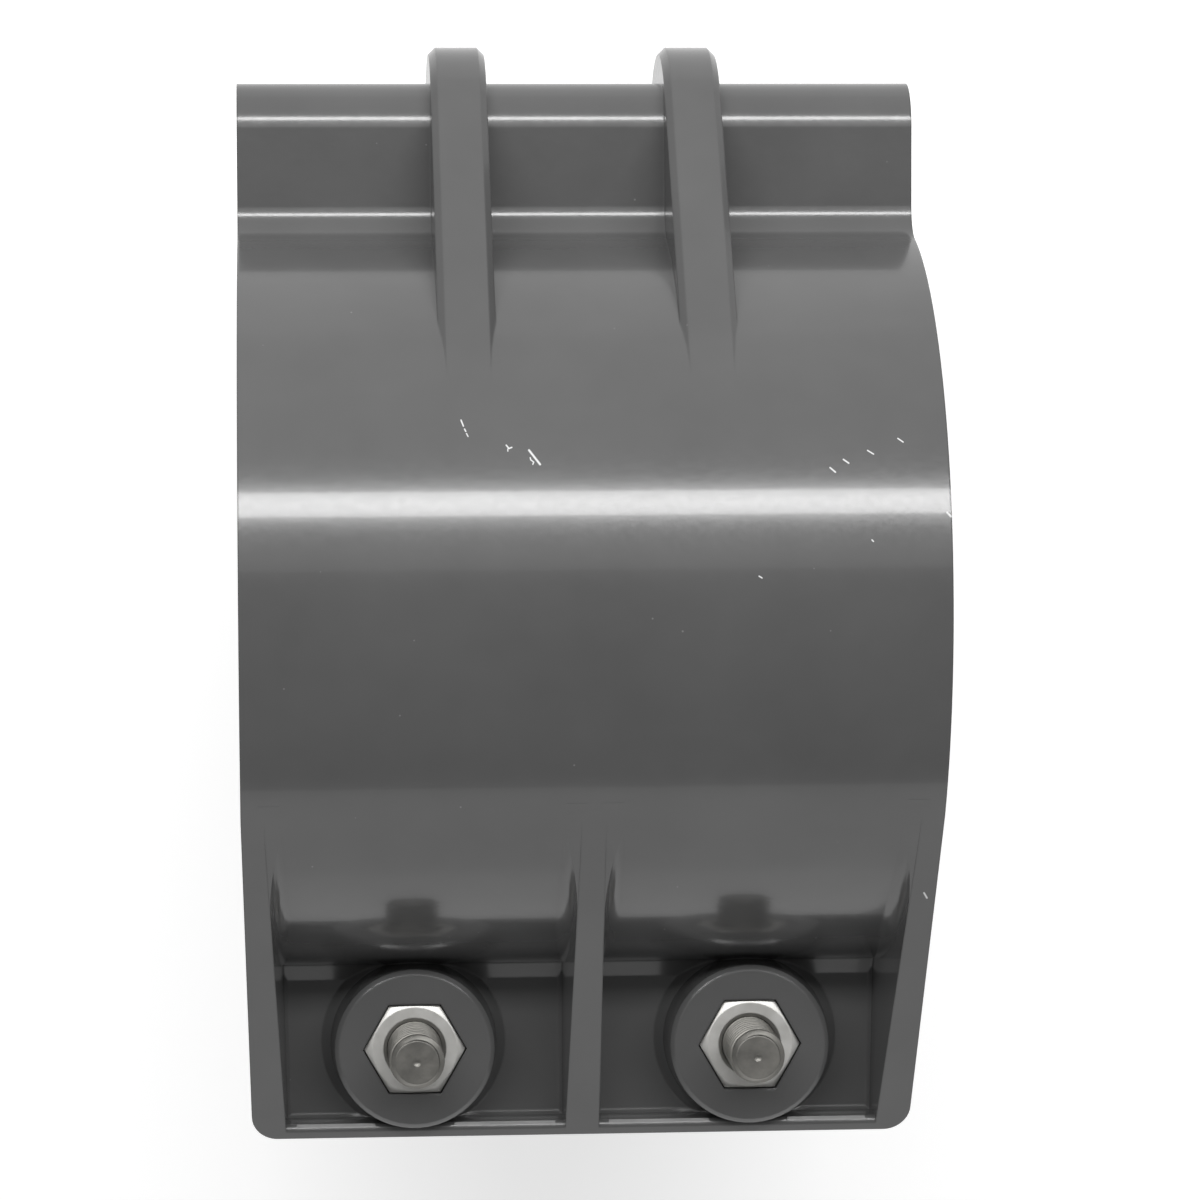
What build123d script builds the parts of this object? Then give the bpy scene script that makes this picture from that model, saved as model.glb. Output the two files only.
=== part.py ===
from build123d import *
from math import acos, atan2, cos, hypot, radians, sin, sqrt, tan
import os

# Hinged tapping saddle for a 3 inch pipe with a 1-1/2 inch threaded outlet.
# Millimetres. Origin on the pipe axis at mid length, X along the pipe, +Z up through the outlet.
# The bolts are on the -Y side and the hook hinge on the +Y side. The strap half hangs below the
# outlet half, and both halves are moulded PVC.

# The pipe and the two half shells
pipe_od = 88.9                  # 3 inch pipe
pipe_clearance = 0.1            # radial, between the clamped shells and the pipe
wall = 9.95                     # wall of both half shells
saddle_length = 97.7            # along the pipe
split_gap = 2.0                 # between the two halves at the split plane

# The bolted flange, the same on both halves
flange_length = 95.6            # along the pipe at the lip: the ends taper in towards it
flange_reach = 77.6             # from the pipe axis to the outer face of the lip
lip_height = 17.0               # top of the lip above the split plane
lip_wall = 2.2                  # at the pocket floor
lip_draft = 1.0                 # degrees, on the lip's inner face
lip_edge_fillet = 0.8
floor_height = 12.0             # floor of the two pockets above the split plane
gusset_wall = 4.9               # at the height of the lip, thinner above it
middle_gusset_draft = 1.4       # degrees, on both faces
end_gusset_draft = 3.3          # degrees, on the inner face
flange_corner_radius = 3.7      # the two outer corners, seen from above
pocket_foot_chamfer = 0.5       # all round the pocket floor
shell_foot_width = 2.1          # flat slope along the shell's foot, across the floor
shell_foot_height = 1.1

# The bolt bosses
bolt_spacing = 48.6             # along the pipe
bolt_edge_distance = 13.3       # bolt centre from the lip's outer face
boss_base_diameter = 24.4       # at the pocket floor
boss_top_diameter = 23.0
boss_foot_chamfer = 1.2
strap_boss_height = 20.0        # rim of the nut pocket above the split plane
outlet_boss_height = 18.0       # seat of the washer above the split plane
boss_rim_chamfer = 0.6

# The 5/16-18 hardware
bolt_diameter = 7.94
bolt_length = 50.8              # under the head
bolt_tip_chamfer = 0.6
bolt_hole_clearance = 0.53      # radial, bolt in the flange holes
thread_clearance = 0.05         # radial, plain stand-in for the thread in the nut
hex_across_flats = 12.7         # head and nut alike
head_height = 5.33
nut_height = 6.75
hex_chamfer = 0.5
nut_pocket_clearance = 0.15     # on each flat
nut_recess = 0.25               # nut below the rim of its pocket
washer_diameter = 17.46
washer_thickness = 1.65
washer_hole_clearance = 0.4     # radial, bolt in the washer

# The hook hinge
hinge_offset = 64.3             # hinge axis from the pipe axis, in the split plane
bead_radius = 5.5               # round bead along the outlet half
hook_clearance = 0.2            # radial, bead in hook
hook_wall = 5.0
hook_underside = 12.0           # flat underside below the split plane
hook_corner_radius = 6.5
hook_root_fillet = 5.0
hook_tip_angle = 100.0          # how far the hook goes over the bead, from the outer side
hook_tip_fillet = 1.6
neck_height = 4.0               # top of the bead's neck above the split plane
neck_root_fillet = 2.5
rib_spacing = 33.8              # the two ribs over the hook, along the pipe
rib_wall = 8.1
rib_height = 5.5                # above the hook
rib_end_angle = 72.0            # where the ribs stop, from the outer side
rib_edge_chamfer = 1.0

# The outlet
outlet_thread_radius = 24.0     # root of the 1-1/2 inch pipe thread
outlet_thread_depth = 25.0
outlet_mouth_chamfer = 1.5
saw_hole_radius = 20.0          # the hole saw passes here
outlet_wall = 9.0               # boss wall inside the reinforcing ring
ring_wall = 1.5
ring_height = 12.0
ring_setback = 1.0              # ring below the boss's top face
outlet_foot_chamfer = 2.5

# The gasket round the hole
gasket_inner_radius = 27.0
gasket_width = 4.5
gasket_depth = 3.5
gasket_clearance = 0.1          # on each side in its groove

bore_radius = pipe_od / 2 + pipe_clearance
shell_radius = bore_radius + wall
half_gap = split_gap / 2
bolt_offset = flange_reach - bolt_edge_distance
hook_inner_radius = bead_radius + hook_clearance
hook_radius = hook_inner_radius + hook_wall
rib_radius = hook_radius + rib_height
hook_reach = hinge_offset + hook_radius
lip_distance = hypot(flange_reach, lip_height)
gusset_start_angle = atan2(lip_height, -flange_reach) - acos(shell_radius / lip_distance)
bolt_hole_radius = bolt_diameter / 2 + bolt_hole_clearance
nut_seat_height = strap_boss_height - nut_recess - nut_height
outlet_top = shell_radius + outlet_thread_depth
outlet_radius = outlet_thread_radius + outlet_wall
ring_radius = outlet_radius + ring_wall
ring_foot = outlet_top - ring_setback - ring_height
bolt_places = (-bolt_spacing / 2, bolt_spacing / 2)
beyond = 3 * shell_radius       # cutters and half planes reach past everything
on_surface = 0.01               # nearer than this counts as lying on a surface


# Cross-sections are drawn as (y, height above the split plane) and run along the pipe. A half is
# built the right way up, and the strap half is turned over at the end.
section_plane = Plane(origin=(0, 0, 0), x_dir=(0, 1, 0), z_dir=(1, 0, 0))


def along_pipe(section, length):
    """A cross-section run along the pipe, centred on the origin."""
    return extrude(section_plane * section, amount=length / 2, both=True)


def corner_at(section, y, height):
    """The corner of a cross-section that lies nearest to a point."""
    return section.vertices().sort_by_distance((y, height, 0))[0]


def above(height):
    """The half plane above a height."""
    return Pos(0, height + beyond / 2) * Rectangle(2 * beyond, beyond)


def shell_section():
    """The half ring of wall round the pipe."""
    return (Circle(shell_radius) - Circle(bore_radius)) & above(half_gap)


def towards(angle, reach):
    """A point round the hinge axis. The angle starts at the outer side and grows over the bead,
    away from the half's own side."""
    return (hinge_offset + reach * cos(radians(angle)), -reach * sin(radians(angle)))


def mouth(start_angle):
    """What is open in front of the hook, from its end face round to the split plane."""
    return make_face(Polyline(
        (hinge_offset, half_gap), (hinge_offset, 0), towards(start_angle, beyond),
        (-beyond, -beyond), (-beyond, half_gap), close=True))


def hook_section():
    """The strap's shell with the hook that takes the bead."""
    root_width = hook_reach - bore_radius
    root = Pos(bore_radius + root_width / 2, (half_gap + hook_underside) / 2) * Rectangle(
        root_width, hook_underside - half_gap)
    root = fillet(corner_at(root, hook_reach, hook_underside), hook_corner_radius)
    hook = root + Pos(hinge_offset, 0) * Circle(hook_radius)
    section = shell_section() + (hook - Circle(bore_radius))
    section -= Pos(hinge_offset, 0) * Circle(hook_inner_radius)
    section -= mouth(hook_tip_angle)
    for reach in (hook_inner_radius, hook_radius):
        section = fillet(corner_at(section, *towards(hook_tip_angle, reach)), hook_tip_fillet)
    root_y = sqrt(shell_radius**2 - hook_underside**2)
    return fillet(corner_at(section, root_y, hook_underside), hook_root_fillet)


def bead_section():
    """The outlet half's shell with the bead on its neck."""
    neck_width = hinge_offset - bore_radius
    neck = Pos(bore_radius + neck_width / 2, (half_gap + neck_height) / 2) * Rectangle(
        neck_width, neck_height - half_gap)
    section = shell_section() + (neck - Circle(bore_radius))
    section += Pos(hinge_offset, 0) * Circle(bead_radius)
    root_y = sqrt(shell_radius**2 - neck_height**2)
    return fillet(corner_at(section, root_y, neck_height), neck_root_fillet)


def rib():
    """One rib: it leaves the shell on a tangent and goes round the hook."""
    lean = acos((shell_radius - rib_radius) / hinge_offset)
    web = make_face(Polyline(
        (shell_radius * cos(lean), shell_radius * sin(lean)),
        (hinge_offset + rib_radius * cos(lean), rib_radius * sin(lean)),
        (hinge_offset, half_gap), (bore_radius, half_gap), close=True))
    section = web + Pos(hinge_offset, 0) * Circle(rib_radius)
    section -= mouth(rib_end_angle)
    section -= Circle(bore_radius + wall / 2)
    section -= Pos(hinge_offset, 0) * Circle(hook_inner_radius + hook_wall / 2)
    plate = along_pipe(section, rib_wall)
    slopes = plate.edges().filter_by(GeomType.LINE).sort_by(SortBy.LENGTH)[-2:]
    bends = plate.edges().filter_by(GeomType.CIRCLE).sort_by(SortBy.RADIUS)
    bends = bends.filter_by(lambda edge: abs(edge.radius - rib_radius) < on_surface)
    return chamfer(slopes + bends, rib_edge_chamfer)


def gusset_start():
    """Where the gussets' faces leave the shell on a tangent, as (y, height)."""
    return shell_radius * cos(gusset_start_angle), shell_radius * sin(gusset_start_angle)


def flange_blank():
    """The flange before its pockets."""
    section = make_face(Polyline(
        gusset_start(), (-flange_reach, lip_height), (-flange_reach, half_gap), (0, half_gap),
        close=True))
    return along_pipe(section - Circle(bore_radius + wall / 2), saddle_length)


def plan():
    """The outline seen from above, which trims the ends and rounds the flange's corners."""
    taper_start = gusset_start()[0]
    outline = make_face(Polyline(
        (saddle_length / 2, beyond), (saddle_length / 2, taper_start),
        (flange_length / 2, -flange_reach), (-flange_length / 2, -flange_reach),
        (-saddle_length / 2, taper_start), (-saddle_length / 2, beyond), close=True))
    outline = fillet(outline.vertices().group_by(Axis.Y)[0], flange_corner_radius)
    return extrude(outline, amount=beyond, both=True)


def pocket_corners(side, height):
    """One pocket's corners at a height above the split plane, between the middle and an end gusset."""
    above_lip = height - lip_height
    middle = gusset_wall / 2 - above_lip * tan(radians(middle_gusset_draft))
    end = flange_length / 2 - gusset_wall + above_lip * tan(radians(end_gusset_draft))
    splay = (saddle_length - flange_length) / 2 / (flange_reach + gusset_start()[0])
    lip = flange_reach - lip_wall + (height - floor_height) * tan(radians(lip_draft))
    return [(side * middle, 0, height), (side * middle, -lip, height),
            (side * (end + splay * (flange_reach - lip)), -lip, height),
            (side * (end + splay * flange_reach), 0, height)]


def flat_sided(low, high):
    """A solid with flat sides between two outlines with the same number of corners."""
    sides = [[low[i - 1], low[i], high[i], high[i - 1]] for i in range(len(low))]
    return Solid(Shell([Face(Wire.make_polygon(corners)) for corners in [low, high] + sides]))


def pocket(side):
    """The cutter of one pocket."""
    cutter = flat_sided(pocket_corners(side, floor_height), pocket_corners(side, 2 * shell_radius))
    cutter -= along_pipe(Circle(shell_radius), 2 * saddle_length)
    return chamfer(cutter.edges().group_by(Axis.Z)[0], pocket_foot_chamfer)


def shell_foot():
    """The flat slope where the pocket floors meet the shell."""
    foot = -sqrt(shell_radius**2 - floor_height**2)
    top = floor_height + shell_foot_height
    return along_pipe(make_face(Polyline(
        (-sqrt(shell_radius**2 - top**2), top), (foot - shell_foot_width, floor_height),
        (foot - shell_foot_width, half_gap), (foot, half_gap), close=True)),
        flange_length - gusset_wall)


def flange(boss_height):
    """The bolted flange of either half, with its pockets and bosses."""
    body = flange_blank() - pocket(-1) - pocket(1)
    lip_edges = body.edges().filter_by(GeomType.LINE).filter_by(Axis.X).filter_by_position(
        Axis.Y, -flange_reach + lip_wall / 2, -flange_reach + lip_wall + lip_edge_fillet)
    body = fillet(lip_edges.group_by(Axis.Z)[-1], lip_edge_fillet)
    body += shell_foot()
    for x in bolt_places:
        boss = Pos(x, -bolt_offset, (floor_height + boss_height) / 2) * Cone(
            boss_base_diameter / 2, boss_top_diameter / 2, boss_height - floor_height)
        boss = chamfer(boss.edges().sort_by(Axis.Z)[-1], boss_rim_chamfer)
        boss += Pos(x, -bolt_offset, floor_height + boss_foot_chamfer / 2) * Cone(
            boss_base_diameter / 2 + boss_foot_chamfer, boss_base_diameter / 2, boss_foot_chamfer)
        body += boss
    return body


def bolt_holes(radius):
    return [Pos(x, -bolt_offset, 0) * Cylinder(radius, beyond) for x in bolt_places]


def hexagon(across_flats):
    return RegularPolygon(across_flats / 2, 6, major_radius=False)


def turned_over(shape):
    """From the right way up to below the split plane."""
    return shape.rotate(Axis.Y, 180)


def strap_half():
    body = along_pipe(hook_section(), saddle_length) + flange(strap_boss_height)
    for x in (-rib_spacing / 2, rib_spacing / 2):
        body += Pos(x, 0, 0) * rib()
    body -= bolt_holes(bolt_hole_radius)
    pocket_outline = hexagon(hex_across_flats + 2 * nut_pocket_clearance)
    for x in bolt_places:
        body -= extrude(Pos(x, -bolt_offset, nut_seat_height) * pocket_outline, amount=strap_boss_height)
    return turned_over(body & plan())


def upright(radius, foot, top):
    """A round solid on the outlet's axis."""
    return Pos(0, 0, (foot + top) / 2) * Cylinder(radius, top - foot)


def outlet_boss():
    """The boss under the ring and the narrower spigot that the ring is pressed on."""
    boss = upright(ring_radius, 0, ring_foot) + upright(outlet_radius, 0, outlet_top)
    return boss - along_pipe(Circle(bore_radius + wall / 2), 2 * saddle_length)


def washer_room():
    """What stays clear of the shell above the washers' seats, so that the bolts drop in."""
    column = upright(washer_diameter / 2 + bolt_hole_clearance, outlet_boss_height, shell_radius)
    return [Pos(x, -bolt_offset, 0) * column for x in bolt_places]


def outlet_half():
    body = along_pipe(bead_section(), saddle_length) + outlet_boss()
    foot = [edge for edge in body.edges()
            if all(abs(hypot((edge @ t).X, (edge @ t).Y) - ring_radius) < on_surface for t in (0, 0.3, 0.6, 1))
            and (edge @ 0.3).Z < shell_radius + on_surface]
    body = chamfer(foot, outlet_foot_chamfer)
    body += flange(outlet_boss_height)
    body -= bolt_holes(bolt_hole_radius)
    body -= washer_room()
    body -= upright(outlet_thread_radius, shell_radius, outlet_top)
    body -= Pos(0, 0, outlet_top - outlet_mouth_chamfer / 2) * Cone(
        outlet_thread_radius, outlet_thread_radius + outlet_mouth_chamfer, outlet_mouth_chamfer)
    body -= upright(saw_hole_radius, 0, outlet_top)
    body -= saddle_ring(gasket_inner_radius, gasket_width)
    return body & plan()


def saddle_ring(inner_radius, width):
    """A ring round the outlet, bent to the pipe, as deep as the gasket's groove."""
    band = along_pipe(Circle(bore_radius + gasket_depth) - Circle(bore_radius), saddle_length)
    tube = Cylinder(inner_radius + width, shell_radius, align=(Align.CENTER, Align.CENTER, Align.MIN))
    tube -= Cylinder(inner_radius, shell_radius, align=(Align.CENTER, Align.CENTER, Align.MIN))
    return band & tube


def gasket():
    return saddle_ring(gasket_inner_radius + gasket_clearance, gasket_width - 2 * gasket_clearance)


def reinforcing_ring():
    ring = Cylinder(ring_radius, ring_height) - Cylinder(outlet_radius, ring_height)
    return Pos(0, 0, ring_foot + ring_height / 2) * ring


def washer(x):
    disc = Cylinder(washer_diameter / 2, washer_thickness)
    disc -= Cylinder(bolt_diameter / 2 + washer_hole_clearance, washer_thickness)
    return Pos(x, -bolt_offset, outlet_boss_height + washer_thickness / 2) * disc


def chamfered_hexagon(height, faces):
    """A hexagon prism, its corners taken off by a cone at the faces named."""
    prism = extrude(hexagon(hex_across_flats), amount=height)
    corner_radius = hex_across_flats / sqrt(3)
    turned = Cylinder(corner_radius, height, align=(Align.CENTER, Align.CENTER, Align.MIN))
    rims = turned.edges().filter_by(GeomType.CIRCLE).sort_by(Axis.Z)
    picked = [rim for rim, wanted in zip((rims[0], rims[-1]), faces) if wanted]
    flat_loss = corner_radius - hex_across_flats / 2 + hex_chamfer / 2
    return prism & chamfer(picked, hex_chamfer, flat_loss)


def bolt(x):
    """Hex head up, shank down through both flanges and the nut."""
    seat = outlet_boss_height + washer_thickness
    head = chamfered_hexagon(head_height, (False, True))
    shank = Pos(0, 0, -bolt_length / 2) * Cylinder(bolt_diameter / 2, bolt_length)
    tip = shank.edges().filter_by(GeomType.CIRCLE).sort_by(Axis.Z)[0]
    return Pos(x, -bolt_offset, seat) * (head + chamfer(tip, bolt_tip_chamfer))


def nut(x):
    body = chamfered_hexagon(nut_height, (True, False))
    body -= Cylinder(bolt_diameter / 2 + thread_clearance, 4 * nut_height)
    return Pos(x, -bolt_offset, -nut_seat_height - nut_height) * body


nodes = {
    "outlet_half": outlet_half(),
    "strap_half": strap_half(),
    "gasket": gasket(),
    "reinforcing_ring": reinforcing_ring(),
}
for number, place in enumerate(bolt_places, start=1):
    nodes[f"bolt_{number}"] = bolt(place)
    nodes[f"washer_{number}"] = washer(place)
    nodes[f"nut_{number}"] = nut(place)

os.makedirs("parts", exist_ok=True)
for name, shape in nodes.items():
    export_step(shape, f"parts/{name}.step")
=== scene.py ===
import math

import bmesh
import bpy
from mathutils import Matrix, Vector


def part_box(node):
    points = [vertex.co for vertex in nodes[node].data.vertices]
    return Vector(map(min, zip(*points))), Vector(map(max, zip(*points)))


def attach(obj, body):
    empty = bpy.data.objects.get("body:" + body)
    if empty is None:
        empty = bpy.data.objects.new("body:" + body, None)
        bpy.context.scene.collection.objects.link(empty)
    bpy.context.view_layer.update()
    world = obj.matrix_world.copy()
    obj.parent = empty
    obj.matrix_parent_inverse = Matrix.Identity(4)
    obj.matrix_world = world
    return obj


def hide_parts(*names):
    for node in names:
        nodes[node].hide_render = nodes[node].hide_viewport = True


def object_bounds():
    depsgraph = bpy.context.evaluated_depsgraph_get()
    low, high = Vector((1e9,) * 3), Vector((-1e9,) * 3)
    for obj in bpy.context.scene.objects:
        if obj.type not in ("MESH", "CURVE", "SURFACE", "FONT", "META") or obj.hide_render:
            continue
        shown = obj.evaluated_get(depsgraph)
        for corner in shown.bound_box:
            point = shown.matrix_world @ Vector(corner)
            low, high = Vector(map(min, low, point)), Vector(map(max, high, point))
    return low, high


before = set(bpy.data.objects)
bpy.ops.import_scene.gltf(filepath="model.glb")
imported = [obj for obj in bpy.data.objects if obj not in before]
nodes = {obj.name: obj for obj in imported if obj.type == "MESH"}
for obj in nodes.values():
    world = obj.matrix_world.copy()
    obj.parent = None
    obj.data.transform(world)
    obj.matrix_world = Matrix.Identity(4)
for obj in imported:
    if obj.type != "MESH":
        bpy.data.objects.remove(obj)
cad_low, cad_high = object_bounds()
MM = 0.001


# ---------------------------------------------------------------------------
# Outlet half and strap half: the two moulded halves of the saddle.
# Unplasticised PVC, pigmented mid grey, injection moulded in a polished tool,
# hooked together on one side of the pipe and bolted on the other.
# ---------------------------------------------------------------------------
def linear(code):
    """A colour written as sRGB hex, as linear red, green, blue and alpha."""
    parts = [int(code[i : i + 2], 16) / 255 for i in (1, 3, 5)]
    return tuple(
        p / 12.92 if p <= 0.04045 else ((p + 0.055) / 1.055) ** 2.4 for p in parts
    ) + (1.0,)


def add(tree, kind, inputs=None, **settings):
    """Adds a node: its settings, and each input as a value or another node's output."""
    made = tree.nodes.new(kind)
    for name, value in settings.items():
        setattr(made, name, value)
    for name, value in (inputs or {}).items():
        if isinstance(value, bpy.types.NodeSocket):
            tree.links.new(value, made.inputs[name])
        else:
            made.inputs[name].default_value = value
    return made


def maths(tree, operation, first, second=0.0, **settings):
    """One step of arithmetic on two values."""
    return add(
        tree,
        "ShaderNodeMath",
        {0: first, 1: second},
        operation=operation,
        **settings,
    ).outputs[0]


def vector_maths(tree, operation, first, second):
    """One step of arithmetic on two vectors: a vector, a dot product or a distance."""
    made = add(tree, "ShaderNodeVectorMath", {0: first, 1: second}, operation=operation)
    is_value = operation in ("DOT_PRODUCT", "DISTANCE")
    return made.outputs["Value" if is_value else "Vector"]


def ramp(tree, value, low, high, at_low=0.0, at_high=1.0, **settings):
    """A value carried from one range to another and held at both ends."""
    return add(
        tree,
        "ShaderNodeMapRange",
        {
            "Value": value,
            "From Min": low,
            "From Max": high,
            "To Min": at_low,
            "To Max": at_high,
        },
        **settings,
    ).outputs[0]


def noise(tree, place, size, detail, roughness=0.5):
    """Cloudy noise with patches of about the size given."""
    return add(
        tree,
        "ShaderNodeTexNoise",
        {
            "Vector": place,
            "Scale": 1 / size,
            "Detail": detail,
            "Roughness": roughness,
        },
    ).outputs["Fac"]


def colours(tree, share, first, second):
    """Two colours mixed by a share."""
    return add(
        tree,
        "ShaderNodeMix",
        {"Factor": share, "A": first, "B": second},
        data_type="RGBA",
    ).outputs["Result"]


def new_tree(name):
    """An empty material and its node tree."""
    material = bpy.data.materials.new(name)
    material.use_nodes = True
    material.node_tree.nodes.clear()
    return material, material.node_tree


# the strap's outside: scratches and scuffs from handling, each as the (x, y) of
# both ends and a width, in mm
STRAP_SCRATCHES = [
    ((18.2, 27.3), (17.9, 26.5), 0.13),
    ((17.75, 26.1), (17.6, 25.8), 0.13),
    ((17.5, 25.5), (17.3, 25.1), 0.11),
    ((12.1, 23.9), (11.75, 23.45), 0.13),
    ((11.75, 23.45), (11.35, 23.6), 0.13),
    ((11.9, 23.4), (11.9, 23.1), 0.10),
    ((9.0, 23.2), (7.55, 21.3), 0.19),
    ((8.87, 22.2), (8.8, 21.9), 0.11),
    ((8.8, 21.9), (8.4, 21.6), 0.11),
    ((8.4, 21.6), (8.54, 21.3), 0.11),
    ((-22.1, 6.0), (-22.5, 5.75), 0.12),
    ((-32.3, 20.6), (-33.0, 20.0), 0.14),
    ((-34.2, 21.7), (-34.9, 21.2), 0.14),
    ((-37.6, 22.9), (-38.4, 22.4), 0.12),
    ((-41.9, 24.5), (-42.6, 24.0), 0.12),
    ((-48.2, 14.4), (-48.7, 13.9), 0.18),
    ((-37.7, 10.8), (-37.9, 10.6), 0.12),
    ((-46.9, -39.8), (-47.4, -40.6), 0.16),
]
SCRATCHED_BELOW = -30.0 * MM  # only the crown of the strap is marked
SCRATCHED_OUTSIDE = 50.0 * MM  # not the bore or the end faces
SCRATCH_CORE = 0.35  # of a mark's width, beyond which it fades


def scratches(tree, position, marks):
    """A mask that is 1 on each short mark, measured as the distance to its line."""
    flat = vector_maths(tree, "MULTIPLY", position, (1.0, 1.0, 0.0))
    total = None
    for start, end, width in marks:
        a = Vector((*start, 0)) * MM
        run = Vector((*end, 0)) * MM - a
        from_a = vector_maths(tree, "SUBTRACT", flat, a)
        along = vector_maths(tree, "DOT_PRODUCT", from_a, run / run.length_squared)
        share = maths(tree, "ADD", along, use_clamp=True)
        nearest = add(
            tree,
            "ShaderNodeVectorMath",
            {0: run, "Scale": share},
            operation="SCALE",
        ).outputs[0]
        gap = vector_maths(tree, "DISTANCE", from_a, nearest)
        sharp_to = width * SCRATCH_CORE * MM
        mark = ramp(tree, gap, sharp_to, width * MM, 1.0, 0.0)
        total = mark if total is None else maths(tree, "MAXIMUM", total, mark)
    return total


def moulded_grey_pvc(name, marks, edge_radius=0.5 * MM):
    """Grey uPVC off a polished mould: a glossy skin, faint flow mottling and, on
    the strap, pale scratches where the skin is broken."""
    material, tree = new_tree(name)
    place = add(tree, "ShaderNodeTexCoord").outputs["Object"]
    tone = ramp(tree, noise(tree, place, 22 * MM, 3.0, 0.6), 0.3, 0.7)
    skin = colours(tree, tone, linear("#525252"), linear("#585858"))
    speck = add(
        tree,
        "ShaderNodeTexVoronoi",
        {"Vector": place, "Scale": 1 / (5.5 * MM), "Randomness": 1.0},
    ).outputs["Distance"]
    dot = ramp(tree, speck, 0.018, 0.03, 0.55, 0.0)
    skin = colours(tree, dot, skin, linear("#8b8b8a"))
    grain = noise(tree, place, 0.9 * MM, 2.0, 0.55)
    rough = ramp(tree, grain, 0.35, 0.65, 0.17, 0.21)
    if marks:
        height = add(tree, "ShaderNodeSeparateXYZ", {0: place}).outputs["Z"]
        on_crown = maths(tree, "LESS_THAN", height, SCRATCHED_BELOW)
        from_axis = vector_maths(tree, "MULTIPLY", place, (0.0, 1.0, 1.0))
        facing = add(tree, "ShaderNodeTexCoord").outputs["Normal"]
        outward = vector_maths(tree, "DOT_PRODUCT", from_axis, facing)
        outside = maths(tree, "GREATER_THAN", outward, SCRATCHED_OUTSIDE)
        mask = scratches(tree, place, marks)
        for where in (on_crown, outside):
            mask = maths(tree, "MULTIPLY", mask, where)
        skin = colours(tree, mask, skin, linear("#d9dada"))
        rough = add(
            tree, "ShaderNodeMix", {"Factor": mask, "A": rough, "B": 0.7}
        ).outputs["Result"]
    relief = {"Height": grain, "Strength": 0.12, "Distance": 0.05 * MM}
    if edge_radius:
        edges = add(tree, "ShaderNodeBevel", {"Radius": edge_radius}, samples=6)
        relief["Normal"] = edges.outputs[0]
    bump = add(tree, "ShaderNodeBump", relief).outputs[0]
    shader = add(
        tree,
        "ShaderNodeBsdfPrincipled",
        {
            "Base Color": skin,
            "Roughness": rough,
            "IOR": 1.54,
            "Coat Weight": 0.3,
            "Coat Roughness": 0.05,
            "Normal": bump,
        },
    )
    add(tree, "ShaderNodeOutputMaterial", {"Surface": shader.outputs[0]})
    return material


nodes["outlet_half"].data.materials[0] = moulded_grey_pvc("moulded_grey_pvc", [])
nodes["strap_half"].data.materials[0] = moulded_grey_pvc(
    "moulded_grey_pvc_handled", STRAP_SCRATCHES
)


# the moulded blend where each gusset's foot runs into the shell
SHELL_RADIUS = 54.5 * MM
FLANGE_REACH = 77.6 * MM
LIP_HEIGHT = 17.0 * MM
GUSSET_TOP = Vector((0, -28.0, 46.7)) * MM  # where a gusset leaves the shell
GUSSET_FACES = [  # (x at the lip, the way the face looks, its draft, its splay)
    (2.45 * MM, 1, math.radians(1.4), 0.0),
    (-2.45 * MM, -1, math.radians(1.4), 0.0),
    (42.9 * MM, -1, math.radians(3.3), 0.0212),
    (-42.9 * MM, 1, math.radians(3.3), 0.0212),
]
BLEND_RADIUS = 2.5 * MM
BLEND_BURIED = 0.7 * MM  # how deep its back lies in the gusset and the shell
BLEND_PROUD = 0.008 * MM  # of the gusset's outer face, so that the two don't mix
BLEND_FROM, BLEND_SPUN = math.radians(28), math.radians(48)
BLEND_FADES, BLEND_ENDS = math.radians(57), math.radians(76.5)
BLEND_STEPS, BLEND_SPIN_STEPS = 24, 48  # across the blend and round the pipe


def placed(name, mesh):
    """Turns a finished bmesh into an object of the scene."""
    data = bpy.data.meshes.new(name)
    mesh.to_mesh(data)
    mesh.free()
    piece = bpy.data.objects.new(name, data)
    bpy.context.scene.collection.objects.link(piece)
    return piece


def shown(name, mesh, body, material, sharp=30.0):
    """A piece that rides on a body, with every edge past the sharp angle left crisp."""
    bmesh.ops.recalc_face_normals(mesh, faces=mesh.faces)
    for face in mesh.faces:
        face.smooth = True
    for edge in mesh.edges:
        edge.smooth = edge.calc_face_angle(0.0) < math.radians(sharp)
    piece = placed(name, mesh)
    piece.data.materials.append(material)
    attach(piece, body)
    return piece


def pour(part, mesh):
    """Adds one bmesh to another and frees it."""
    held = bpy.data.meshes.new("held")
    part.to_mesh(held)
    part.free()
    mesh.from_mesh(held)
    bpy.data.meshes.remove(held)


def everything(mesh):
    """All that a bmesh holds, as its operators take it."""
    return mesh.verts[:] + mesh.edges[:] + mesh.faces[:]


def only(kind, parts):
    """The parts of one kind among those that an operator hands back."""
    return [part for part in parts if isinstance(part, kind)]


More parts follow.
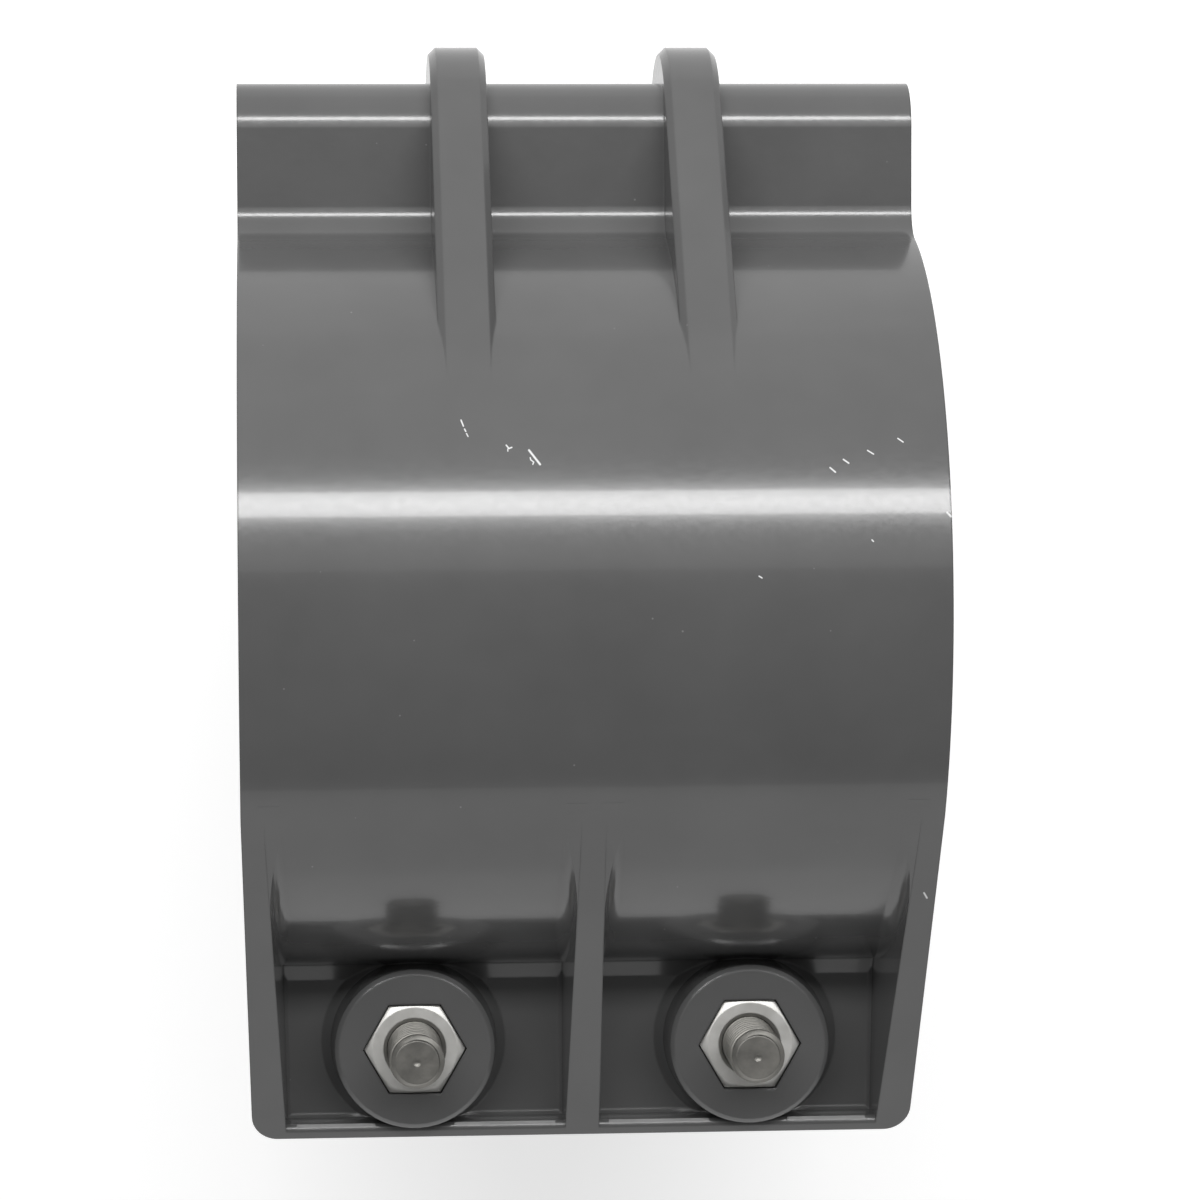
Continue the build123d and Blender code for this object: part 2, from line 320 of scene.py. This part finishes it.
def gusset_blends(name, down, material):
    """Four quarter-round fillings, spun round the pipe's axis and trimmed flush with
    the gussets' outer faces, so that they run out where a gusset leaves the shell.
    They are made on the outlet half, and turned over for the strap half."""
    slope = Vector((0, -(FLANGE_REACH + GUSSET_TOP.y), -(GUSSET_TOP.z - LIP_HEIGHT)))
    outward = Vector((0, slope.z, -slope.y)).normalized()
    mesh = bmesh.new()
    for foot, side, draft, splay in GUSSET_FACES:
        part = bmesh.new()
        outline = [
            (-side * BLEND_BURIED, -BLEND_BURIED),
            (side * BLEND_RADIUS, -BLEND_BURIED),
        ]
        for step in range(BLEND_STEPS + 1):
            angle = math.pi / 2 * step / BLEND_STEPS
            x = side * BLEND_RADIUS * (1 - math.sin(angle))
            outline.append((x, BLEND_RADIUS * (1 - math.cos(angle))))
        outline.append((-side * BLEND_BURIED, BLEND_RADIUS))
        points = [
            part.verts.new((foot + x, 0, SHELL_RADIUS + rise)) for x, rise in outline
        ]
        face = part.faces.new(points)
        bmesh.ops.rotate(
            part,
            verts=part.verts,
            cent=(0, 0, 0),
            matrix=Matrix.Rotation(BLEND_FROM, 3, "X"),
        )
        bmesh.ops.spin(
            part,
            geom=[face],
            cent=(0, 0, 0),
            axis=(1, 0, 0),
            angle=BLEND_SPUN,
            steps=BLEND_SPIN_STEPS,
            use_merge=False,
        )
        for vert in part.verts:
            turn = math.atan2(-vert.co.y, vert.co.z)
            size = min(1.0, (BLEND_ENDS - turn) / (BLEND_ENDS - BLEND_FADES))
            away = vert.co.yz.length
            vert.co.yz *= (SHELL_RADIUS + (away - SHELL_RADIUS) * size) / away
            vert.co.x = foot + (vert.co.x - foot) * size
            vert.co.x -= side * (vert.co.z - LIP_HEIGHT) * math.tan(draft)
            vert.co.x -= side * (vert.co.y + FLANGE_REACH) * splay
        cut = bmesh.ops.bisect_plane(
            part,
            geom=everything(part),
            plane_co=GUSSET_TOP + outward * BLEND_PROUD,
            plane_no=outward,
            clear_outer=True,
        )["geom_cut"]
        bmesh.ops.holes_fill(part, edges=only(bmesh.types.BMEdge, cut))
        pour(part, mesh)
    if down:
        bmesh.ops.scale(mesh, vec=(1, 1, -1), verts=mesh.verts)
    return shown(name, mesh, "saddle", material)


# the flat along the inner edge of the flange's lip: its (y, z) corners, and its ends
# along x on both sides of each boss, in mm
LIP_FLAT = [(-76.18, 17.655), (-75.45, 17.38), (-75.45, 16.9), (-76.18, 16.9)]
LIP_FLAT_ENDS = [(3.9, 18.6), (30.0, 41.4), (-18.6, -3.9), (-41.4, -30.0)]


def lip_flats(name, down, material):
    """Short bars half sunk in the lip, made and turned over as the blends are."""
    mesh = bmesh.new()
    for first, last in LIP_FLAT_ENDS:
        corners = [
            mesh.verts.new((first * MM, y * MM, rise * MM)) for y, rise in LIP_FLAT
        ]
        face = mesh.faces.new(corners)
        grown = bmesh.ops.extrude_face_region(mesh, geom=[face])["geom"]
        far = only(bmesh.types.BMVert, grown)
        bmesh.ops.translate(mesh, verts=far, vec=((last - first) * MM, 0, 0))
    if down:
        bmesh.ops.scale(mesh, vec=(1, 1, -1), verts=mesh.verts)
    return shown(name, mesh, "saddle", material)


joined_pvc = moulded_grey_pvc("moulded_grey_pvc_joins", [], edge_radius=0)
gusset_blends("strap_gusset_blends", True, joined_pvc)
gusset_blends("outlet_gusset_blends", False, joined_pvc)
lip_flats("strap_lip_flats", True, joined_pvc)
lip_flats("outlet_lip_flats", False, joined_pvc)


# ---------------------------------------------------------------------------
# Steel of the reinforcing ring, bolts, nuts and washers: austenitic stainless,
# formed cold and pickled, so it is satin and a little warm, and isn't brushed.
# ---------------------------------------------------------------------------
def satin_stainless_steel(name, tones, roughness, pitting):
    """Pickled stainless steel: cloudy between two tones, with fine shallow pits."""
    material, tree = new_tree(name)
    place = add(tree, "ShaderNodeTexCoord").outputs["Object"]
    cloud = noise(tree, place, 3 * MM, 4.0, 0.6)
    pits = noise(tree, place, 0.35 * MM, 2.0)
    shade = ramp(tree, cloud, 0.3, 0.7)
    steel = colours(tree, shade, linear(tones[0]), linear(tones[1]))
    rough = ramp(tree, cloud, 0.3, 0.7, roughness, roughness + 0.08)
    edges = add(tree, "ShaderNodeBevel", {"Radius": 0.25 * MM}, samples=6)
    bump = add(
        tree,
        "ShaderNodeBump",
        {
            "Height": pits,
            "Strength": pitting,
            "Distance": 0.03 * MM,
            "Normal": edges.outputs[0],
        },
    ).outputs[0]
    shader = add(
        tree,
        "ShaderNodeBsdfPrincipled",
        {"Base Color": steel, "Metallic": 1.0, "Roughness": rough, "Normal": bump},
    )
    add(tree, "ShaderNodeOutputMaterial", {"Surface": shader.outputs[0]})
    return material


nut_steel = satin_stainless_steel(
    "satin_stainless_steel", ("#d9d8d4", "#e2e1de"), 0.50, 0.2
)
bolt_steel = satin_stainless_steel(
    "dulled_stainless_steel", ("#7f7e7a", "#96948f"), 0.46, 0.5
)
ring_steel = satin_stainless_steel(
    "drawn_stainless_steel", ("#c6c5c1", "#cdccc8"), 0.24, 0.1
)
nodes["reinforcing_ring"].data.materials[0] = ring_steel
for name in ("washer_1", "washer_2"):
    nodes[name].data.materials[0] = nut_steel


# ---------------------------------------------------------------------------
# Nuts: 5/16-18 hexagon nuts, cold formed. The outer face is chamfered all round
# and its bore is countersunk where the tap goes in.
# ---------------------------------------------------------------------------
COUNTERSINK_RADIUS = 4.55 * MM
COUNTERSINK_DEPTH = 0.55 * MM


def merged_copy(name):
    """A node's own shape as one joined bmesh, which can then be cut and shaped."""
    mesh = bmesh.new()
    mesh.from_mesh(nodes[name].data)
    bmesh.ops.remove_doubles(mesh, verts=mesh.verts, dist=0.001 * MM)
    return mesh


for number in (1, 2):
    low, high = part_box(f"nut_{number}")
    centre = (Vector(low) + Vector(high)) / 2
    mesh = merged_copy(f"nut_{number}")
    bmesh.ops.bisect_plane(
        mesh,
        geom=everything(mesh),
        plane_co=(0, 0, low[2] + COUNTERSINK_DEPTH),
        plane_no=(0, 0, 1),
    )
    rim = [
        vert
        for vert in mesh.verts
        if vert.co.z < low[2] + 0.01 * MM
        and (vert.co.xy - centre.xy).length < COUNTERSINK_RADIUS
    ]
    bore = sum((vert.co.xy - centre.xy).length for vert in rim) / len(rim)
    wider = COUNTERSINK_RADIUS / bore
    bmesh.ops.scale(
        mesh, vec=(wider, wider, 1), space=Matrix.Translation(-centre), verts=rim
    )
    nut = shown(
        f"hex_nut_{number}", mesh, "saddle", nut_steel, sharp=15
    )
    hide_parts(f"nut_{number}")


# ---------------------------------------------------------------------------
# Bolts: 5/16-18 hexagon bolts, 2 inches long, with a plain shank and a rolled
# thread over the last 7/8 inch. The cut end has a small dimple at its centre.
# ---------------------------------------------------------------------------
THREAD_PITCH = 25.4 / 18 * MM
THREAD_LENGTH = 22.2 * MM
THREAD_ROOT = 3.21 * MM
THREAD_CREST = 3.95 * MM
THREAD_STEPS = 36  # a turn
THREAD_IN_SHANK = 0.3 * MM  # how far the thread runs on inside the plain shank
THREAD_BELOW_TIP = 1.3 * THREAD_PITCH  # where the winding starts, to be cut at the tip
END_RADIUS = 3.1 * MM  # of the flat end, inside its chamfer
CHAMFER_CUTS = (0.25 * MM, 0.5 * MM, 0.75 * MM)  # rows of points up the chamfer
DIMPLE_RADIUS = 0.55 * MM
DIMPLE_DEPTH = 0.4 * MM
DIMPLE_FLOOR = 0.04 * MM  # radius of the ring that is then merged to a point


def helical_thread(root, crest, pitch, root_flat, crest_flat, foot, turns, steps):
    """A thread's surface: one pitch of its outline, wound up round the Z axis."""
    flank = (pitch - root_flat - crest_flat) / 2
    mesh = bmesh.new()
    outline = [
        mesh.verts.new((radius, 0, foot + rise))
        for radius, rise in (
            (root, 0),
            (root, root_flat),
            (crest, root_flat + flank),
            (crest, root_flat + flank + crest_flat),
            (root, pitch),
        )
    ]
    edges = [mesh.edges.new(pair) for pair in zip(outline, outline[1:])]
    bmesh.ops.spin(
        mesh,
        geom=outline + edges,
        cent=(0, 0, 0),
        axis=(0, 0, 1),
        dvec=(0, 0, pitch / steps),
        angle=math.tau * turns,
        steps=steps * turns,
        use_merge=False,
    )
    bmesh.ops.remove_doubles(mesh, verts=mesh.verts, dist=0.01 * MM)
    return mesh


def open_edges(parts):
    """Those of some edges that have a face on one side only."""
    return [edge for edge in parts if edge.is_boundary]


def trim(mesh, height, keep_above):
    """Cuts a mesh level at a height and closes the cut with a flat face."""
    bmesh.ops.bisect_plane(
        mesh,
        geom=everything(mesh),
        plane_co=(0, 0, height),
        plane_no=(0, 0, -1 if keep_above else 1),
        clear_outer=True,
    )
    level = [
        edge
        for edge in open_edges(mesh.edges)
        if all(abs(vert.co.z - height) < 0.001 * MM for vert in edge.verts)
    ]
    bmesh.ops.contextual_create(mesh, geom=level)


for number in (1, 2):
    low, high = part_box(f"bolt_{number}")
    centre = (Vector(low) + Vector(high)) / 2
    tip, thread_top = low[2], low[2] + THREAD_LENGTH
    thread = helical_thread(
        root=THREAD_ROOT,
        crest=THREAD_CREST,
        pitch=THREAD_PITCH,
        root_flat=THREAD_PITCH / 4,
        crest_flat=THREAD_PITCH / 8,
        foot=tip - THREAD_BELOW_TIP,
        turns=math.ceil(THREAD_LENGTH / THREAD_PITCH) + 2,
        steps=THREAD_STEPS,
    )
    trim(thread, thread_top + THREAD_IN_SHANK, keep_above=False)
    bmesh.ops.bisect_plane(
        thread,
        geom=everything(thread),
        plane_co=(0, 0, tip),
        plane_no=(0, 0, -1),
        clear_outer=True,
    )
    for rise in CHAMFER_CUTS:
        bmesh.ops.bisect_plane(
            thread,
            geom=everything(thread),
            plane_co=(0, 0, tip + rise),
            plane_no=(0, 0, 1),
        )
    for vert in thread.verts:
        most = END_RADIUS + vert.co.z - tip
        if vert.co.xy.length > most:
            vert.co.xy *= most / vert.co.xy.length
    rim = open_edges(thread.edges)
    for radius, depth in ((DIMPLE_RADIUS, 0), (DIMPLE_FLOOR, DIMPLE_DEPTH)):
        grown = bmesh.ops.extrude_edge_only(thread, edges=rim)["geom"]
        ring = only(bmesh.types.BMVert, grown)
        rim = open_edges(only(bmesh.types.BMEdge, grown))
        for vert in ring:
            vert.co.xy *= radius / vert.co.xy.length
            vert.co.z = tip + depth
    bmesh.ops.remove_doubles(thread, verts=ring, dist=3 * DIMPLE_FLOOR)
    bmesh.ops.translate(thread, verts=thread.verts, vec=(centre.x, centre.y, 0))
    mesh = merged_copy(f"bolt_{number}")
    trim(mesh, thread_top, keep_above=True)
    pour(thread, mesh)
    bolt = shown(
        f"hex_bolt_{number}",
        mesh,
        f"bolt_{number}",
        bolt_steel,
        sharp=15,
    )
    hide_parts(f"bolt_{number}")


# ---------------------------------------------------------------------------
# Outlet thread: the 1-1/2 inch taper pipe thread moulded in the outlet's wall.
# Its ridges grow by 1 in 16 towards the pipe and run out into the wall.
# ---------------------------------------------------------------------------
PIPE_THREAD_PITCH = 25.4 / 11.5 * MM
PIPE_THREAD_ROOT = 24.05 * MM  # just inside the wall
PIPE_THREAD_CREST = 22.35 * MM  # at the mouth
PIPE_THREAD_FOOT, PIPE_THREAD_TOP = 55.0 * MM, 78.6 * MM
PIPE_THREAD_TAPER = 1 / 32  # of the radius, 1 in 16 of the diameter
PIPE_THREAD_STEPS = 60  # a turn
RUN_OUT_TOP = 1.5 * PIPE_THREAD_PITCH
RUN_OUT_FOOT = 3 * PIPE_THREAD_PITCH


def outlet_thread():
    """The ridge of the outlet's thread, without the flat between its turns."""
    at_root = PIPE_THREAD_ROOT - 0.01 * MM
    ridge = helical_thread(
        root=PIPE_THREAD_ROOT,
        crest=PIPE_THREAD_CREST,
        pitch=PIPE_THREAD_PITCH,
        root_flat=PIPE_THREAD_PITCH / 8,
        crest_flat=PIPE_THREAD_PITCH / 8,
        foot=PIPE_THREAD_FOOT,
        turns=math.floor((PIPE_THREAD_TOP - PIPE_THREAD_FOOT) / PIPE_THREAD_PITCH),
        steps=PIPE_THREAD_STEPS,
    )
    flats = [
        face
        for face in ridge.faces
        if all(vert.co.xy.length > at_root for vert in face.verts)
    ]
    bmesh.ops.delete(ridge, geom=flats, context="FACES")
    for vert in ridge.verts:
        away = vert.co.xy.length
        if away > at_root:
            continue
        below_top = PIPE_THREAD_TOP - vert.co.z
        above_foot = vert.co.z - PIPE_THREAD_FOOT
        depth = PIPE_THREAD_ROOT - PIPE_THREAD_CREST + below_top * PIPE_THREAD_TAPER
        run_out = min(1, below_top / RUN_OUT_TOP, above_foot / RUN_OUT_FOOT)
        vert.co.xy *= (PIPE_THREAD_ROOT - depth * max(0, run_out)) / away
    return ridge


shown("outlet_pipe_thread", outlet_thread(), "saddle", joined_pvc)


# ---------------------------------------------------------------------------
# Gasket: a moulded ring of black EPDM rubber, pressed into its groove in the
# outlet half's bore, where the pipe closes it.
# ---------------------------------------------------------------------------
def moulded_black_rubber(name):
    """EPDM off a mould: near black, matt, with a fine even bloom."""
    material, tree = new_tree(name)
    place = add(tree, "ShaderNodeTexCoord").outputs["Object"]
    bloom = noise(tree, place, 1.2 * MM, 4.0)
    tone = colours(tree, bloom, linear("#1b1b1c"), linear("#2a2a2b"))
    bump = add(
        tree,
        "ShaderNodeBump",
        {"Height": bloom, "Strength": 0.2, "Distance": 0.05 * MM},
    ).outputs[0]
    shader = add(
        tree,
        "ShaderNodeBsdfPrincipled",
        {"Base Color": tone, "Roughness": 0.55, "IOR": 1.5, "Normal": bump},
    )
    add(tree, "ShaderNodeOutputMaterial", {"Surface": shader.outputs[0]})
    return material


nodes["gasket"].data.materials[0] = moulded_black_rubber("moulded_black_rubber")


# ---------------------------------------------------------------------------
# Table and light: a pale table under the outlet's mouth, a white surround, one
# long soft lamp above the hinge side and a grey card that shades the other.
# ---------------------------------------------------------------------------
world = bpy.data.worlds.new("surround")
bpy.context.scene.world = world
world.use_nodes = True
tree = world.node_tree
tree.nodes.clear()
heading = add(tree, "ShaderNodeTexCoord").outputs["Generated"]
toward = add(tree, "ShaderNodeSeparateXYZ", {0: heading}).outputs
sky_and_ground = ramp(tree, toward["Z"], -0.02, 0.02, 0.85, 1.0)
along_pipe = maths(tree, "ABSOLUTE", toward["X"])
dimmer_ends = ramp(
    tree, along_pipe, 0.45, 0.9, 1.0, 0.45, interpolation_type="SMOOTHSTEP"
)
level = maths(tree, "MULTIPLY", sky_and_ground, dimmer_ends)
seen = add(tree, "ShaderNodeLightPath").outputs["Is Camera Ray"]
level = add(tree, "ShaderNodeMix", {"Factor": seen, "A": level, "B": 1.0})
level = level.outputs["Result"]
background = add(
    tree, "ShaderNodeBackground", {"Color": (1, 1, 1, 1), "Strength": level}
)
add(tree, "ShaderNodeOutputWorld", {"Surface": background.outputs[0]})

# the long lamp above the hinge side
LAMP_ANGLE = math.radians(31.5)
LAMP_DISTANCE = 500 * MM
LAMP_OVER = Vector((0, 16, -52)) * MM  # what it stands square to
lamp_data = bpy.data.lights.new("strip_lamp", "AREA")
lamp_data.shape = "RECTANGLE"
lamp_data.size = 900 * MM
lamp_data.size_y = 70 * MM
lamp_data.energy = 2.9
lamp = bpy.data.objects.new("strip_lamp", lamp_data)
bpy.context.scene.collection.objects.link(lamp)
toward_lamp = Vector((0, math.sin(LAMP_ANGLE), -math.cos(LAMP_ANGLE)))
lamp.location = LAMP_OVER + toward_lamp * LAMP_DISTANCE
lamp.visible_camera = False
lamp.rotation_mode = "QUATERNION"
lamp.rotation_quaternion = toward_lamp.to_track_quat("Z", "Y")

# the grey card on the bolts' side of the camera, bent round the pipe's axis
CARD_RADIUS = 900 * MM
CARD_REACH = 800 * MM  # to each end
CARD_FROM, CARD_TO = math.radians(-55), math.radians(11)
card_mesh = bmesh.new()
card_y = CARD_RADIUS * math.sin(CARD_FROM)
card_z = -CARD_RADIUS * math.cos(CARD_FROM)
first = card_mesh.verts.new((-CARD_REACH, card_y, card_z))
second = card_mesh.verts.new((CARD_REACH, card_y, card_z))
edge = card_mesh.edges.new((first, second))
bmesh.ops.spin(
    card_mesh,
    geom=[first, second, edge],
    cent=(0, 0, 0),
    axis=(1, 0, 0),
    angle=CARD_TO - CARD_FROM,
    steps=16,
)
card = placed("grey_card", card_mesh)
material, tree = new_tree("grey_card")
glow = add(tree, "ShaderNodeEmission", {"Color": (1, 1, 1, 1), "Strength": 0.14})
add(tree, "ShaderNodeOutputMaterial", {"Surface": glow.outputs[0]})
card.data.materials.append(material)
card.visible_camera = False

# the table that the outlet's mouth stands on; clear from behind, so that the
# saddle can be looked at from underneath
TABLE_GAP = 0.2 * MM  # between the outlet's mouth and the table
TABLE_REACH = 3000 * MM  # to each side
floor_mesh = bmesh.new()
bmesh.ops.create_grid(floor_mesh, x_segments=1, y_segments=1, size=TABLE_REACH)
bmesh.ops.translate(
    floor_mesh, vec=(0, 0, cad_high.z + TABLE_GAP), verts=floor_mesh.verts
)
bmesh.ops.reverse_faces(floor_mesh, faces=floor_mesh.faces)
floor = placed("table", floor_mesh)
material, tree = new_tree("pale_table")
paint = add(tree, "ShaderNodeBsdfDiffuse", {"Color": linear("#dcdcdc")})
lift = add(tree, "ShaderNodeEmission", {"Color": (1, 1, 1, 1), "Strength": 0.55})
both = add(
    tree, "ShaderNodeAddShader", {0: paint.outputs[0], 1: lift.outputs[0]}
).outputs[0]
behind = add(tree, "ShaderNodeNewGeometry").outputs["Backfacing"]
clear = add(tree, "ShaderNodeBsdfTransparent").outputs[0]
surface = add(tree, "ShaderNodeMixShader", {0: behind, 1: both, 2: clear}).outputs[0]
add(tree, "ShaderNodeOutputMaterial", {"Surface": surface})
floor.data.materials.append(material)
floor.visible_diffuse = False
floor.visible_glossy = False
floor.visible_transmission = False
floor.visible_shadow = False


# ---------------------------------------------------------------------------
# Camera: straight down on the strap's crown, a little off square.
# ---------------------------------------------------------------------------
camera_data = bpy.data.cameras.new("camera")
camera_data.lens = 136.1
camera_data.sensor_width = 36.0
camera_data.clip_start = 0.01
camera_data.clip_end = 10.0
camera = bpy.data.objects.new("camera", camera_data)
bpy.context.scene.collection.objects.link(camera)
turned = (
    Matrix.Rotation(math.radians(0.2), 3, "Z")
    @ Matrix.Rotation(math.radians(4.0), 3, "X")
    @ Matrix.Rotation(math.radians(4.0), 3, "Y")
)
facing = Matrix.Rotation(math.pi, 3, "Y") @ turned.transposed()
camera.rotation_mode = "QUATERNION"
camera.rotation_quaternion = facing.to_quaternion()
camera.location = facing @ Vector((4.1, -0.84, 672)) * MM
bpy.context.scene.camera = camera

bpy.context.scene.view_settings.view_transform = "Standard"
